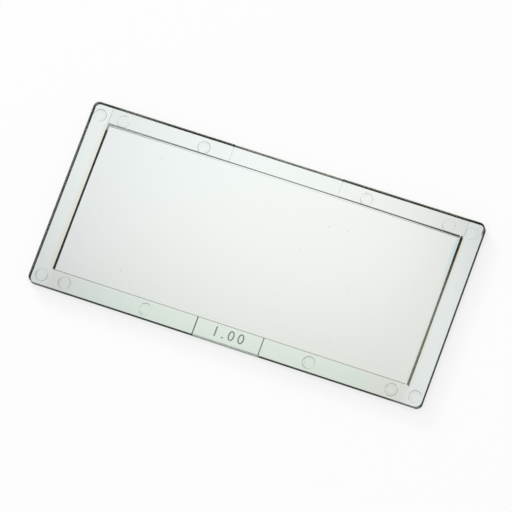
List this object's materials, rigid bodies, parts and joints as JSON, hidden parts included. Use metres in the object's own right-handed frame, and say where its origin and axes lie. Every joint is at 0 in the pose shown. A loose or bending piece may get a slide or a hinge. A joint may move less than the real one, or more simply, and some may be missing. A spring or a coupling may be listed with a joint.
{
  "type": "welding magnifier lens",
  "caption": "Clear rectangular moulded lens plate with a flat rim and a shallow convex window, for use behind a welding filter.",
  "frame": {"origin": "middle of the back rim's plane, on which the plate lies", "axes": "+X along the long side, +Y towards the long side with the trimmed gate, +Z out of the marked front"},
  "size_m": [0.108, 0.0508, 0.0034],
  "materials": {
    "clear_lens": "polished"
  },
  "bodies": {
    "root": {"magnifier_lens": "clear_lens"}
  },
  "joints": []
}
